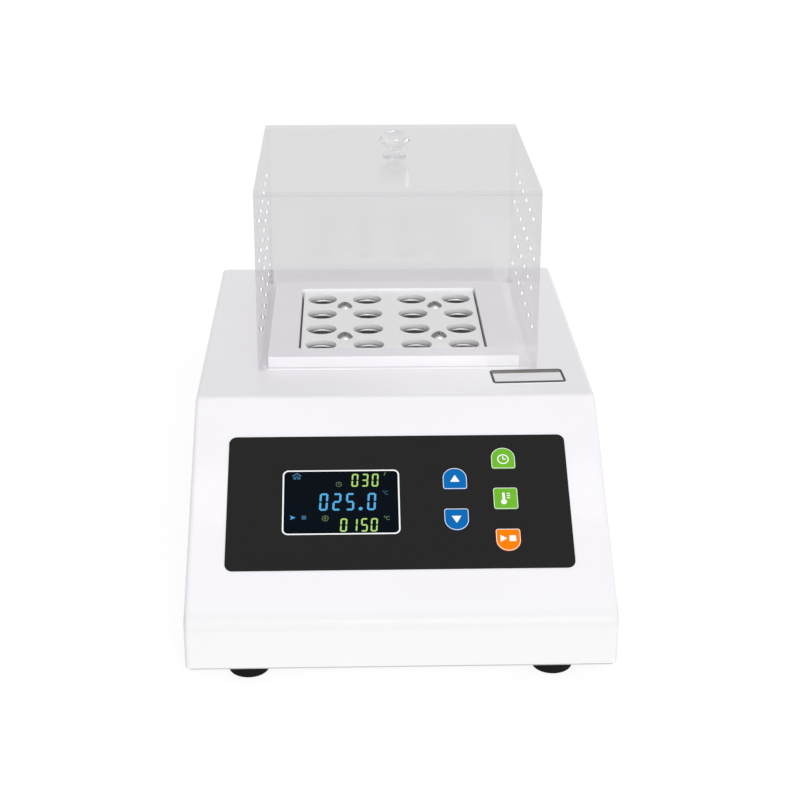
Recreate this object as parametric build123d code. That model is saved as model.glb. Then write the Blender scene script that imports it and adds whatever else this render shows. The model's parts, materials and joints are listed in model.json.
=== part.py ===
from build123d import *
import os
from math import atan2, cos, sin, tan

# Chemical oxygen demand reactor: a dry block heater for sixteen digestion vials, with a lift-off clear
# cover.  Millimetres, +Z up, the front faces -Y, the origin is the centre of the footprint on the bench.

# ---------------------------------------------------------------- casing, one moulded shell open below
casing_width = 240.0
casing_depth = 385.0
casing_height = 111.4
band_height = 29.5  # upright band below the sloping panel
slope_run = 128.7  # depth that the sloping panel takes
wall = 2.5
side_round = 3.0
lower_crease_round = 10.0
upper_crease_round = 6.0
back_round = 4.0
least_round = 0.5

# clearances
fit_gap = 0.3  # around pieces that slide or drop in
screw_gap = 0.1  # around a screw's shank, on the radius
pin_gap = 0.05  # around a hinge pin, on the radius
cut_over = 1.0  # how far a cutter runs past the face that it opens

# ---------------------------------------------------------------- feet and base plate
foot_height = 10.4
foot_radius = 11.5
foot_round = 2.0
foot_inset_x = 34.3
foot_inset_y = 19.3
foot_counterbore_radius = 4.2
foot_counterbore_depth = 5.0
base_thickness = 1.2
base_reveal = 1.0  # the plate shows as a thin line under the shell, this far in from its faces
base_corner_round = 3.0
base_boss_radius = 4.5
base_boss_height = 16.0
base_boss_inset = 34.0  # of the end bosses, from the front and the back
vent_slot_width = 3.2
vent_slot_length = 46.0
vent_slot_pitch = 7.0
vent_slot_count = 9

# ---------------------------------------------------------------- screws: shank radius, head radius, head height
m3 = (1.45, 2.8, 2.2)
m4 = (1.95, 3.6, 2.6)
plate_screw_size = (1.95, 5.15, 3.1)
thread_depth = 8.0  # how far a screw bites
nut_across_flats = 7.0
nut_height = 3.2
head_crown = 0.55  # round of a pan head, as a share of its height
recess_length = 1.1  # arms of the cross recess, as shares of the head's radius
recess_width = 0.24

# ---------------------------------------------------------------- raised frame, plate and heating block
frame_width = 157.6
frame_depth = 151.9
frame_height = 7.8
frame_wall = 2.2
frame_y = 59.0
frame_corner_round = 1.5
frame_edge_round = 0.8
frame_boss_radius = 3.5
opening_width = 119.6
opening_depth = 120.0
plate_side_gap = 1.4
plate_end_gap = 0.6
plate_recess = 2.2
plate_thickness = 3.2
plate_hole_radius = 9.8
wells_forward = 2.4  # the wells stand this far forward of the opening's middle
well_pitch = 30.45
wells_per_side = 4
well_radius = 8.2
well_depth = 62.0
well_chamfer = 0.8
block_side_gap = 2.2  # between the block and the frame, left and right
block_height = 78.0
heater_radius = 4.75
heater_length = 100.0
heater_rise = 7.5  # heater axis above the underside of the block
lead_radius = 0.9
lead_spacing = 4.0
lead_length = 22.0
probe_radius = 2.0
probe_length = 50.0
probe_rise = 40.0
cutout_radius = 8.0
cutout_depth = 9.0
cutout_x = 30.0
insulation_side = 12.0
insulation_floor = 14.0
insulation_headroom = 6.0  # between the insulation and the top of the casing
tray_thickness = 1.2
tray_height = 60.0
tray_flange = 14.0
spacer_radius = 5.0
spacer_offset = 40.0
pillar_radius = 4.0
pillar_offset = 50.0
stud_length = 6.0

# ---------------------------------------------------------------- sloping panel, measured up the slope from its foot
overlay_width = 197.1
overlay_height = 90.6
overlay_thickness = 0.5
overlay_round = 4.5
overlay_x = 0.0
overlay_rise = 77.7
display_width = 65.1
display_height = 41.4
display_round = 2.3
display_x = -33.1
display_rise = 77.3
display_module_margin = 4.5
key_width = 14.0
key_height = 14.4
key_corner = 1.5
key_proud = 0.3
key_edge_round = 0.25
key_travel = 0.5
key_flange = 1.2
key_flange_thickness = 1.0
arrow_x = 32.8
command_x = 61.6
key_rise = 78.5
key_pitch = 27.8
stem_radius = 2.0
switch_side = 12.0
switch_height = 4.5
stem_dip = 1.6  # how far a key's stem stands in its switch
board_drop = 11.0  # from the outer face of the slope to the board
board_width = 160.0
board_height = 84.0
board_thickness = 1.6
board_screw_inset = 6.0
board_boss_radius = 3.2
chip_side = 12.0
chip_height = 1.8
buzzer_radius = 6.0
buzzer_height = 7.0
connector_size = (24.0, 6.0, 8.0)
connector_rise = 50.0
ribbon_width = 20.0
ribbon_thickness = 1.0
ribbon_bend = 8.0

# ---------------------------------------------------------------- power board and relay on the base plate
power_board_width = 120.0
power_board_depth = 80.0
power_board_x = -25.0
power_board_from_front = 82.5
standoff_radius = 3.0
standoff_height = 8.0
standoff_inset = 5.0
power_connector_y = -21.0  # what stands on the board is placed from its middle
transformer_size = (42.0, 36.0, 32.0)
transformer_x = -33.0
transformer_y = 12.0
terminal_size = (50.0, 12.0, 14.0)
terminal_x = 20.0
terminal_y = 30.0
fuse_radius = 2.6
fuse_length = 20.0
fuse_x = 37.0
fuse_y = 5.0
fuse_clip = (3.0, 7.0, 8.0)
fuse_rise = 6.0  # fuse axis above the board; the clips end above it, open at the top
relay_size = (45.0, 58.0, 22.0)
relay_x = 78.0
relay_from_front = 107.5
relay_screw_spacing = 47.0
relay_floor = 4.0
relay_notch = 22.0

# ---------------------------------------------------------------- rear pocket with inlet and switch
pocket_width = 170.0
pocket_height = 72.0
pocket_depth = 7.0
pocket_rise = 55.0
pocket_ledge = 8.0
pocket_boss_radius = 4.0
panel_thickness = 1.5
grille_x = -44.0
inlet_x = 48.0
inlet_flange = (48.0, 28.0)
inlet_flange_thickness = 2.5
inlet_flange_round = 3.0
inlet_body = (28.0, 21.0)
inlet_body_depth = 24.0
inlet_socket = (24.4, 16.6)
inlet_socket_depth = 16.0
inlet_socket_chamfer = 4.5
inlet_screw_spacing = 40.0
pin_width = 2.0
pin_height = 4.0
pin_reach = 12.0
pin_spacing = 7.0
pin_row_offset = 2.0
blade_length = 8.0
switch_x = 5.0
bezel = (15.0, 21.0)
bezel_thickness = 2.0
bezel_round = 1.5
switch_body = (13.0, 19.2)
switch_body_depth = 20.0
rocker_width = 10.0
rocker_half_length = 7.4
rocker_tilt = 12.0  # each way from level
rocker_pin_radius = 1.25
rocker_sink = 2.5  # hinge axis below the bezel's face
rocker_dish = 1.2
rocker_crown = 3.4
rocker_keel = 3.0
rocker_gap = 0.9  # room past each end of the rocker

# ---------------------------------------------------------------- blank plate beside the cover
label_width = 45.2
label_depth = 22.9
label_thickness = 0.3
label_round = 2.9
label_x = 82.2
label_y = -33.5
label_turn = 2.3

# ---------------------------------------------------------------- lift-off cover of five glued sheets
cover_width = 173.7
cover_depth = 178.6
cover_height = 114.4
cover_sheet = 3.0
cover_x = 2.4
cover_y = 68.6
vent_radius = 1.2
vent_pitch_y = 22.4
vent_pitch_z = 22.3
vent_long_row = 7
vent_rows = 4
vent_first_row = 20.3
knob_flange_radius = 7.85
knob_flange_height = 1.5
knob_neck_radius = 4.3
knob_ball_radius = 9.8
knob_ball_height = 12.0
knob_height = 17.0

# ---------------------------------------------------------------- places that follow from the sizes
front = -casing_depth / 2
back = casing_depth / 2
side = casing_width / 2
base = foot_height
top = base + casing_height
floor = base + base_thickness
band_top = base + band_height
slope = atan2(casing_height - band_height, slope_run)
slope_plane = Plane(origin=(0, front, band_top), x_dir=(1, 0, 0), z_dir=(0, -sin(slope), cos(slope)))

frame_top = top + frame_height
plate_top = frame_top - plate_recess
block_top = plate_top - plate_thickness
block_floor = block_top - block_height
tray_top = block_floor - insulation_floor
tray_floor = tray_top - tray_thickness
wells_y = frame_y - wells_forward
plate_half = (opening_width / 2 - plate_side_gap, opening_depth / 2 - plate_end_gap)
block_half = (opening_width / 2 - block_side_gap, plate_half[1])
insulation_inner = fit_gap  # these four are measured outwards from the sides of the block
insulation_outer = insulation_inner + insulation_side
tray_inner = insulation_outer + fit_gap
tray_outer = tray_inner + tray_thickness
pillar_x = block_half[0] + tray_outer + tray_flange / 2
block_back = frame_y + block_half[1]
heater_z = block_floor + heater_rise
probe_z = block_floor + probe_rise

well_steps = [(i - (wells_per_side - 1) / 2) * well_pitch for i in range(wells_per_side)]
well_places = [(x, wells_y + y) for y in well_steps for x in well_steps]
plate_screw_places = [(sx * well_pitch, wells_y + sy * well_pitch) for sx in (-1, 1) for sy in (-1, 1)]

foot_places = [(sx * (side - foot_inset_x), sy * (back - foot_inset_y)) for sx in (-1, 1) for sy in (-1, 1)]
boss_x = side - wall - base_boss_radius + cut_over
base_boss_rows = (front + base_boss_inset, 0.0, back - base_boss_inset)
base_boss_places = [(sx * boss_x, y) for sx in (-1, 1) for y in base_boss_rows]
frame_screw_places = [
    (sx * (frame_width + opening_width) / 4, frame_y + sy * (frame_depth + opening_depth) / 4)
    for sx in (-1, 1)
    for sy in (-1, 1)
]
spacer_places = [(sx * well_pitch, frame_y + sy * spacer_offset) for sx in (-1, 1) for sy in (-1, 1)]
pillar_places = [(sx * pillar_x, frame_y + sy * pillar_offset) for sx in (-1, 1) for sy in (-1, 1)]

board_top = -board_drop
board_under = board_top - board_thickness
switch_top = board_top + switch_height
stem_end = switch_top - stem_dip
board_screw_places = [
    (overlay_x + sx * (board_width / 2 - board_screw_inset), overlay_rise + sy * (board_height / 2 - board_screw_inset))
    for sx in (-1, 1)
    for sy in (-1, 1)
]
key_places = {
    "key_up": ("arch", arrow_x, key_rise + key_pitch / 2),
    "key_down": ("bowl", arrow_x, key_rise - key_pitch / 2),
    "key_timer": ("arch", command_x, key_rise + key_pitch),
    "key_temperature": ("square", command_x, key_rise),
    "key_run": ("bowl", command_x, key_rise - key_pitch),
}

power_board_y = front + power_board_from_front
power_board_floor = floor + standoff_height
power_board_top = power_board_floor + board_thickness
standoff_places = [
    (
        power_board_x + sx * (power_board_width / 2 - standoff_inset),
        power_board_y + sy * (power_board_depth / 2 - standoff_inset),
    )
    for sx in (-1, 1)
    for sy in (-1, 1)
]
relay_y = front + relay_from_front
relay_screw_places = [(relay_x, relay_y + sy * relay_screw_spacing / 2) for sy in (-1, 1)]

pocket_z = base + pocket_rise
panel_back = back - pocket_depth
panel_face = panel_back + panel_thickness
panel_screw_places = [
    (sx * (pocket_width - pocket_ledge) / 2, pocket_z + sy * (pocket_height - pocket_ledge) / 2)
    for sx in (-1, 1)
    for sy in (-1, 1)
]
inlet_face = panel_face + inlet_flange_thickness
bezel_face = panel_face + bezel_thickness
hinge_y = bezel_face - rocker_sink

cover_top = top + cover_height
cover_wall_top = cover_top - cover_sheet


# ---------------------------------------------------------------- helpers
def cuboid(x, y, z):
    """A box between two values on each axis."""
    centre = Pos((x[0] + x[1]) / 2, (y[0] + y[1]) / 2, (z[0] + z[1]) / 2)
    return centre * Box(x[1] - x[0], y[1] - y[0], z[1] - z[0])


def rod(radius, low, high, x=0.0, y=0.0):
    """An upright cylinder from low to high."""
    return Pos(x, y, (low + high) / 2) * Cylinder(radius, high - low)


def rod_along_y(radius, near, far, x, z):
    """A cylinder that lies along Y from near to far."""
    return Pos(x, (near + far) / 2, z) * Rot(90, 0, 0) * Cylinder(radius, far - near)


def on_slope(shape):
    """Moves a shape from the slope's own axes (across, up the slope, outwards) to the part's axes."""
    return slope_plane.location * shape


def facing(shape, point, outward):
    """Stands a shape made along +Z on a point, turned to face outward."""
    return Plane(origin=point, z_dir=outward).location * shape


def slope_point(rise, depth):
    """(Y, Z) of a point up the slope, at a depth measured outwards from its face."""
    y = front + rise * cos(slope) - depth * sin(slope)
    z = band_top + rise * sin(slope) + depth * cos(slope)
    return y, z


def pan_head(radius, height):
    """A flat screw head whose upper edge is well rounded."""
    disc = Cylinder(radius, height)
    return Pos(0, 0, height / 2) * fillet(disc.edges().sort_by(Axis.Z)[-1], height * head_crown)


def domed_head(radius, height):
    """A screw head shaped as the cap of a ball."""
    ball_radius = (radius**2 + height**2) / (2 * height)
    ball = Pos(0, 0, height - ball_radius) * Sphere(ball_radius)
    return ball & rod(ball_radius + cut_over, 0, height + cut_over)


def screw(size, length, head=pan_head):
    """A screw with a cross recess: its head stands on Z = 0 and its shank goes down from there."""
    shank_radius, head_radius, head_height = size
    slot = Pos(0, 0, head_height) * Box(head_radius * recess_length, head_radius * recess_width, head_height)
    return head(head_radius, head_height) + rod(shank_radius, -length, 0) - slot - Rot(0, 0, 90) * slot


def nut():
    """A plain hexagon nut standing on Z = 0."""
    body = extrude(RegularPolygon(nut_across_flats / 2, 6, major_radius=False), nut_height)
    return body - rod(m4[0] + screw_gap, -cut_over, nut_height + cut_over)


def around_block(grow, z):
    """A box over the block's footprint, larger by grow on every side."""
    half_x, half_y = block_half[0] + grow, block_half[1] + grow
    return cuboid((-half_x, half_x), (frame_y - half_y, frame_y + half_y), z)


def save(name, *solids):
    """Writes one node, which holds one solid or a group of like solids."""
    whole = solids[0] if len(solids) == 1 else Compound(children=list(solids))
    export_step(whole, f"parts/{name}.step")
    print(name, len(solids), "piece(s)")


# ---------------------------------------------------------------- casing
def casing_profile(inset, bottom):
    """Side outline of the casing moved in by inset, from bottom upwards, in the YZ plane."""
    shift = inset / cos(slope)
    low_corner = (front + inset, band_top + inset * tan(slope) - shift)
    high_corner = (front + (top - inset - band_top + shift) / tan(slope), top - inset)
    start, end = (front + inset, bottom), (back - inset, bottom)
    radii = [max(r - inset, least_round) for r in (lower_crease_round, upper_crease_round, back_round)]
    outline = FilletPolyline(start, low_corner, high_corner, (back - inset, top - inset), end, radius=radii)
    return Plane.YZ * make_face(outline + Line(end, start))


def key_outline(kind, grow=0.0):
    """A key's outline about its own centre: square, arched at the top, or arched at the bottom."""
    if kind == "square":
        shape = RectangleRounded(key_width, key_height, key_corner)
    else:
        radius = key_width / 2
        centre = key_height / 2 - radius
        straight = key_height - radius
        shape = Pos(0, centre) * Circle(radius) + Pos(0, centre - straight / 2) * Rectangle(key_width, straight)
        shape = fillet(shape.vertices().sort_by(Axis.Y)[:2], key_corner)
    if kind == "bowl":
        shape = Rot(0, 0, 180) * shape
    return offset(shape, grow) if grow else shape


def display_outline(grow=0.0):
    """The display window's outline about its own centre."""
    return RectangleRounded(display_width + 2 * grow, display_height + 2 * grow, display_round + grow)


def rear_pocket():
    """The pocket moulded into the back: (material to add, material to cut)."""
    half_width, half_height = pocket_width / 2, pocket_height / 2
    x, z = (-half_width, half_width), (pocket_z - half_height, pocket_z + half_height)
    rim = cuboid(
        (x[0] - wall, x[1] + wall), (panel_back - wall, back - wall / 2), (z[0] - wall, z[1] + wall)
    )
    room = cuboid(x, (panel_back, back + cut_over), z)
    room += cuboid(
        (x[0] + pocket_ledge, x[1] - pocket_ledge),
        (panel_back - wall - cut_over, panel_back),
        (z[0] + pocket_ledge, z[1] - pocket_ledge),
    )
    for px, pz in panel_screw_places:
        rim += rod_along_y(pocket_boss_radius, panel_back - thread_depth - wall, panel_back, px, pz)
        room += rod_along_y(m3[0] + screw_gap, panel_back - thread_depth, panel_back, px, pz)
    return rim, room


def upper_casing():
    """The white shell with its window, key holes, block opening, rear pocket and bosses."""
    shell = extrude(casing_profile(0, floor), side, both=True)
    edges = [e for f in shell.faces().filter_by(Axis.X) for e in f.edges() if e.center().Z > floor + least_round]
    shell = fillet(edges, side_round)
    shell -= extrude(casing_profile(wall, floor - cut_over), side - wall, both=True)
    rim, room = rear_pocket()
    shell = shell + rim - room
    shell -= cuboid(
        (-opening_width / 2 - frame_wall, opening_width / 2 + frame_wall),
        (frame_y - opening_depth / 2 - frame_wall, frame_y + opening_depth / 2 + frame_wall),
        (top - wall - cut_over, top + cut_over),
    )
    through = wall + 2 * cut_over
    window = extrude(display_outline(fit_gap), through)
    shell -= on_slope(Pos(display_x, display_rise, -wall - cut_over) * window)
    for kind, x, rise in key_places.values():
        hole = extrude(key_outline(kind, fit_gap), through)
        shell -= on_slope(Pos(x, rise, -wall - cut_over) * hole)
    for x, rise in board_screw_places:
        shell += on_slope(rod(board_boss_radius, board_top, -wall / 2, x, rise))
    for x, rise in board_screw_places:
        shell -= on_slope(rod(m3[0] + screw_gap, board_top, -wall, x, rise))
    for x, y in base_boss_places:
        shell += rod(base_boss_radius, floor, floor + base_boss_height, x, y)
        shell -= rod(m3[0] + screw_gap, floor, floor + thread_depth + cut_over, x, y)
    for x, y in frame_screw_places:
        shell -= rod(m3[0] + screw_gap, top - wall - cut_over, top + cut_over, x, y)
    return shell


def base_plate():
    """The steel plate that closes the underside, with two fields of ventilation slots."""
    width, depth = casing_width - 2 * base_reveal, casing_depth - 2 * base_reveal
    plate = Pos(0, 0, base) * extrude(RectangleRounded(width, depth, base_corner_round), base_thickness)
    low, high = base - cut_over, floor + cut_over
    for places, size in (
        (foot_places, m4),
        (base_boss_places, m3),
        (pillar_places, m3),
        (relay_screw_places, m3),
    ):
        for x, y in places:
            plate -= rod(size[0] + screw_gap, low, high, x, y)
    slot = extrude(SlotOverall(vent_slot_length, vent_slot_width, rotation=90), high - low)
    field_half = (vent_slot_count - 1) / 2
    for field_y in (power_board_y, (block_back + back) / 2 - fit_gap):
        for k in range(vent_slot_count):
            plate -= Pos(power_board_x + (k - field_half) * vent_slot_pitch, field_y, low) * slot
    return plate


def feet():
    """Four rubber feet with their screws and nuts."""
    disc = Pos(0, 0, foot_height / 2) * Cylinder(foot_radius, foot_height)
    disc = fillet(disc.edges().sort_by(Axis.Z)[0], foot_round)
    disc -= rod(m4[0] + screw_gap, -cut_over, foot_height + cut_over)
    disc -= rod(foot_counterbore_radius, -cut_over, foot_counterbore_depth)
    reach = foot_height - foot_counterbore_depth + base_thickness + nut_height
    bolt = Pos(0, 0, foot_counterbore_depth) * Rot(180, 0, 0) * screw(m4, reach)
    save("rubber_feet", *[Pos(x, y) * disc for x, y in foot_places])
    save("foot_screws", *[Pos(x, y) * bolt for x, y in foot_places])
    save("foot_nuts", *[Pos(x, y, floor) * nut() for x, y in foot_places])


def rear_panel():
    """The pale plate in the rear pocket, cut for the inlet, the switch and a grille."""
    half_width, half_height = pocket_width / 2 - fit_gap, pocket_height / 2 - fit_gap
    z = (pocket_z - half_height, pocket_z + half_height)
    plate = cuboid((-half_width, half_width), (panel_back, panel_face), z)
    for x, (w, h) in ((inlet_x, inlet_body), (switch_x, switch_body)):
        plate -= cuboid(
            (x - w / 2 - fit_gap, x + w / 2 + fit_gap),
            (panel_back - cut_over, panel_face + cut_over),
            (pocket_z - h / 2 - fit_gap, pocket_z + h / 2 + fit_gap),
        )
    for x, z in panel_screw_places:
        plate -= rod_along_y(m3[0] + screw_gap, panel_back - cut_over, panel_face + cut_over, x, z)
    for sx in (-1, 1):
        x = inlet_x + sx * inlet_screw_spacing / 2
        plate -= rod_along_y(m3[0] + screw_gap, panel_back - cut_over, panel_face + cut_over, x, pocket_z)
    slot = extrude(SlotOverall(vent_slot_length, vent_slot_width, rotation=90), panel_thickness + 2 * cut_over)
    for k in range(vent_slot_count):
        x = grille_x + (k - (vent_slot_count - 1) / 2) * vent_slot_pitch
        plate -= Pos(x, panel_face + cut_over, pocket_z) * Rot(90, 0, 0) * slot
    return plate


# ---------------------------------------------------------------- raised frame, plate, block
def well_frame():
    """The raised white frame around the plate, hollow below, with four screw bosses."""
    x, y = (-frame_width / 2, frame_width / 2), (frame_y - frame_depth / 2, frame_y + frame_depth / 2)
    ring = cuboid(x, y, (top, frame_top))
    ring = fillet(ring.edges().filter_by(Axis.Z), frame_corner_round)
    ring = fillet(ring.faces().sort_by(Axis.Z)[-1].edges(), frame_edge_round)
    ox, oy = (-opening_width / 2, opening_width / 2), (frame_y - opening_depth / 2, frame_y + opening_depth / 2)
    under = (top - cut_over, frame_top - frame_wall)
    hollow = cuboid(
        (x[0] + frame_wall, x[1] - frame_wall), (y[0] + frame_wall, y[1] - frame_wall), under
    )
    hollow -= cuboid((ox[0] - frame_wall, ox[1] + frame_wall), (oy[0] - frame_wall, oy[1] + frame_wall), under)
    ring = ring - hollow - cuboid(ox, oy, (top - cut_over, frame_top + cut_over))
    for px, py in frame_screw_places:
        ring += rod(frame_boss_radius, top, frame_top - frame_wall, px, py)
        ring -= rod(m3[0] + screw_gap, top - cut_over, frame_top - frame_wall, px, py)
    return ring


def well_plate():
    """The white plate over the block, with a hole over each well."""
    x, y = plate_half
    plate = cuboid((-x, x), (frame_y - y, frame_y + y), (block_top, plate_top))
    for px, py in well_places:
        plate -= rod(plate_hole_radius, block_top - cut_over, plate_top + cut_over, px, py)
    for px, py in plate_screw_places:
        plate -= rod(plate_screw_size[0] + screw_gap, block_top - cut_over, plate_top + cut_over, px, py)
    return plate


def heating_block():
    """The aluminium block: sixteen blind wells, four heater bores, a probe bore and threaded holes."""
    block = around_block(0, (block_floor, block_top))
    well = rod(well_radius, block_top - well_depth, block_top + cut_over)
    mouth = Pos(0, 0, block_top - well_chamfer / 2) * Cone(well_radius, well_radius + well_chamfer, well_chamfer)
    for x, y in well_places:
        block -= Pos(x, y) * well
        block -= Pos(x, y) * mouth
    for x, y in plate_screw_places:
        block -= rod(plate_screw_size[0] + screw_gap, block_top - thread_depth - cut_over, block_top, x, y)
    for x, y in spacer_places:
        block -= rod(m4[0] + screw_gap, block_floor, block_floor + thread_depth + cut_over, x, y)
    for x in well_steps:
        block -= rod_along_y(heater_radius + screw_gap, block_back - heater_length, block_back, x, heater_z)
    block -= rod_along_y(probe_radius + screw_gap, block_back - probe_length, block_back, 0, probe_z)
    return block


def heaters():
    """Four cartridge heaters, each with its two leads."""
    lead_end = block_back + lead_length
    pieces = []
    for x in well_steps:
        heater = rod_along_y(heater_radius, block_back - heater_length, block_back, x, heater_z)
        for lead_x in (x - lead_spacing / 2, x + lead_spacing / 2):
            heater += rod_along_y(lead_radius, block_back - cut_over, lead_end, lead_x, heater_z)
        pieces.append(heater)
    return pieces


def temperature_probe():
    """The sheathed probe that reads the block, with its lead."""
    sheath = rod_along_y(probe_radius, block_back - probe_length, block_back, 0, probe_z)
    return sheath + rod_along_y(lead_radius, block_back - cut_over, block_back + lead_length, 0, probe_z)


def thermal_cutout():
    """The bimetal cut-out pressed flat against the back of the block."""
    return rod_along_y(cutout_radius, block_back, block_back + cutout_depth, cutout_x, probe_z)


def insulation_jacket():
    """Fibre insulation under the block and around its sides, pierced for spacers and leads."""
    top_z = top - wall - insulation_headroom
    jacket = around_block(insulation_outer, (tray_top, top_z))
    jacket -= around_block(insulation_inner, (block_floor, top_z + cut_over))
    for x, y in spacer_places:
        jacket -= rod(spacer_radius + fit_gap, tray_top - cut_over, block_floor + cut_over, x, y)
    outside = block_back + insulation_outer + cut_over
    for hole_x, hole_z, radius in lead_holes():
        jacket -= rod_along_y(radius, block_back, outside, hole_x, hole_z)
    return jacket


def lead_holes():
    """(x, z, radius) of the holes that the leads and the cut-out need behind the block."""
    holes = [(x, heater_z, lead_spacing / 2 + lead_radius + fit_gap) for x in well_steps]
    holes.append((0.0, probe_z, lead_radius + fit_gap))
    holes.append((cutout_x, probe_z, cutout_radius + fit_gap))
    return holes


def block_tray():
    """The folded tray that carries the insulated block, with a foot flange along each side."""
    high = tray_floor + tray_height
    tray = around_block(tray_outer, (tray_floor, high))
    flange_x = block_half[0] + tray_outer + tray_flange
    flange_y = block_half[1] + tray_outer
    tray += cuboid((-flange_x, flange_x), (frame_y - flange_y, frame_y + flange_y), (tray_floor, tray_top))
    tray -= around_block(tray_inner, (tray_top, high + cut_over))
    for x, y in spacer_places + pillar_places:
        tray -= rod(m4[0] + screw_gap, tray_floor - cut_over, tray_top + cut_over, x, y)
    outside = block_back + tray_outer + cut_over
    for hole_x, hole_z, radius in lead_holes():
        tray -= rod_along_y(radius, block_back + insulation_inner, outside, hole_x, hole_z)
    return tray


def block_mountings():
    """Spacers and screws between tray and block, and the pillars that stand the tray on the base plate."""
    spacer = rod(spacer_radius, tray_top, block_floor) - rod(m4[0] + screw_gap, tray_top - cut_over, block_top)
    save("block_spacers", *[Pos(x, y) * spacer for x, y in spacer_places])
    reach = tray_thickness + insulation_floor + thread_depth
    bolt = Pos(0, 0, tray_floor) * Rot(180, 0, 0) * screw(m4, reach)
    save("block_screws", *[Pos(x, y) * bolt for x, y in spacer_places])
    pillar = rod(pillar_radius, floor, tray_floor) + rod(m4[0], tray_floor, tray_floor + stud_length)
    pillar -= rod(m3[0] + screw_gap, floor - cut_over, floor + thread_depth + cut_over)
    save("tray_pillars", *[Pos(x, y) * pillar for x, y in pillar_places])
    save("pillar_nuts", *[Pos(x, y, tray_top) * nut() for x, y in pillar_places])
    base_bolt = Pos(0, 0, base) * Rot(180, 0, 0) * screw(m3, base_thickness + thread_depth)
    save("pillar_screws", *[Pos(x, y) * base_bolt for x, y in pillar_places])
    save("base_screws", *[Pos(x, y) * base_bolt for x, y in base_boss_places])


# ---------------------------------------------------------------- sloping panel
def front_overlay():
    """The black film over the slope, with its window and five key holes."""
    film = extrude(RectangleRounded(overlay_width, overlay_height, overlay_round), overlay_thickness)
    film = Pos(overlay_x, overlay_rise, 0) * film
    through = overlay_thickness + 2 * cut_over
    film -= Pos(display_x, display_rise, -cut_over) * extrude(display_outline(fit_gap), through)
    for kind, x, rise in key_places.values():
        film -= Pos(x, rise, -cut_over) * extrude(key_outline(kind, fit_gap), through)
    return on_slope(film)


def display_window():
    """The dark lens that fills the window, flush with the film."""
    lens = extrude(display_outline(), wall + overlay_thickness)
    return on_slope(Pos(display_x, display_rise, -wall) * lens)


def display_module():
    """The display behind the lens, between the casing and the board."""
    width, height = display_width + 2 * display_module_margin, display_height + 2 * display_module_margin
    body = cuboid((-width / 2, width / 2), (-height / 2, height / 2), (board_top, -wall))
    return on_slope(Pos(display_x, display_rise, 0) * body)


def key(kind, x, rise):
    """A key cap with the flange that keeps it in and the stem that works its switch."""
    cap = extrude(key_outline(kind), wall + overlay_thickness + key_proud)
    cap = fillet(cap.faces().sort_by(Axis.Z)[-1].edges(), key_edge_round)
    flange = Pos(0, 0, -key_flange_thickness) * extrude(key_outline(kind, key_flange), key_flange_thickness)
    stem = rod(stem_radius, stem_end + wall, -key_flange_thickness / 2)
    return on_slope(Pos(x, rise, -wall) * (cap + flange + stem))


def switch_housings():
    """One tactile switch under each key."""
    span = (-switch_side / 2, switch_side / 2)
    housing = cuboid(span, span, (board_top, switch_top))
    housing -= rod(stem_radius + fit_gap, stem_end - 2 * key_travel, switch_top + cut_over)
    return [on_slope(Pos(x, rise, 0) * housing) for _, x, rise in key_places.values()]


def control_board():
    """The board behind the slope."""
    half_width, half_height = board_width / 2, board_height / 2
    board = cuboid((-half_width, half_width), (-half_height, half_height), (board_under, board_top))
    board = Pos(overlay_x, overlay_rise, 0) * board
    for x, rise in board_screw_places:
        board -= rod(m3[0] + screw_gap, board_under - cut_over, board_top + cut_over, x, rise)
    return on_slope(board)


def control_board_fittings():
    """Chips, buzzer, screws and the ribbon to the power board."""
    half = chip_side / 2
    chip = cuboid((-half, half), (-half, half), (board_under - chip_height, board_under))
    spots = [(display_x, display_rise), (arrow_x, key_rise), (command_x, key_rise)]
    save("control_chips", *[on_slope(Pos(x, rise, 0) * chip) for x, rise in spots])
    buzzer_x = (display_x + arrow_x) / 2
    save("buzzer", on_slope(rod(buzzer_radius, board_under - buzzer_height, board_under, buzzer_x, key_rise)))
    bolt = Rot(180, 0, 0) * screw(m3, board_thickness + thread_depth / 2)
    save("board_screws", *[on_slope(Pos(x, rise, board_under) * bolt) for x, rise in board_screw_places])

    width, depth, height = connector_size
    header = cuboid((-width / 2, width / 2), (-depth / 2, depth / 2), (0, height))
    upper = on_slope(Pos(0, connector_rise, board_under) * Rot(180, 0, 0) * header)
    lower_y = power_board_y + power_connector_y
    lower = Pos(0, lower_y, power_board_top) * header
    save("ribbon_connectors", upper, lower)
    start = slope_point(connector_rise, board_under - height)
    corner_z = start[1] - (lower_y - start[0]) / tan(slope)
    path = FilletPolyline(start, (lower_y, corner_z), (lower_y, power_board_top + height), radius=ribbon_bend)
    strip = extrude(Plane.YZ * trace(path, ribbon_thickness), ribbon_width / 2, both=True)
    save("ribbon_cable", strip)


# ---------------------------------------------------------------- power board and relay
def power_board():
    """The mains board on the base plate."""
    half_width, half_depth = power_board_width / 2, power_board_depth / 2
    board = cuboid(
        (power_board_x - half_width, power_board_x + half_width),
        (power_board_y - half_depth, power_board_y + half_depth),
        (power_board_floor, power_board_top),
    )
    for x, y in standoff_places:
        board -= rod(m3[0] + screw_gap, power_board_floor - cut_over, power_board_top + cut_over, x, y)
    return board


def on_power_board(size, x, y):
    """A block of the given size standing on the power board, placed from the board's middle."""
    height = size[2]
    return Pos(power_board_x + x, power_board_y + y, power_board_top + height / 2) * Box(*size)


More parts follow.
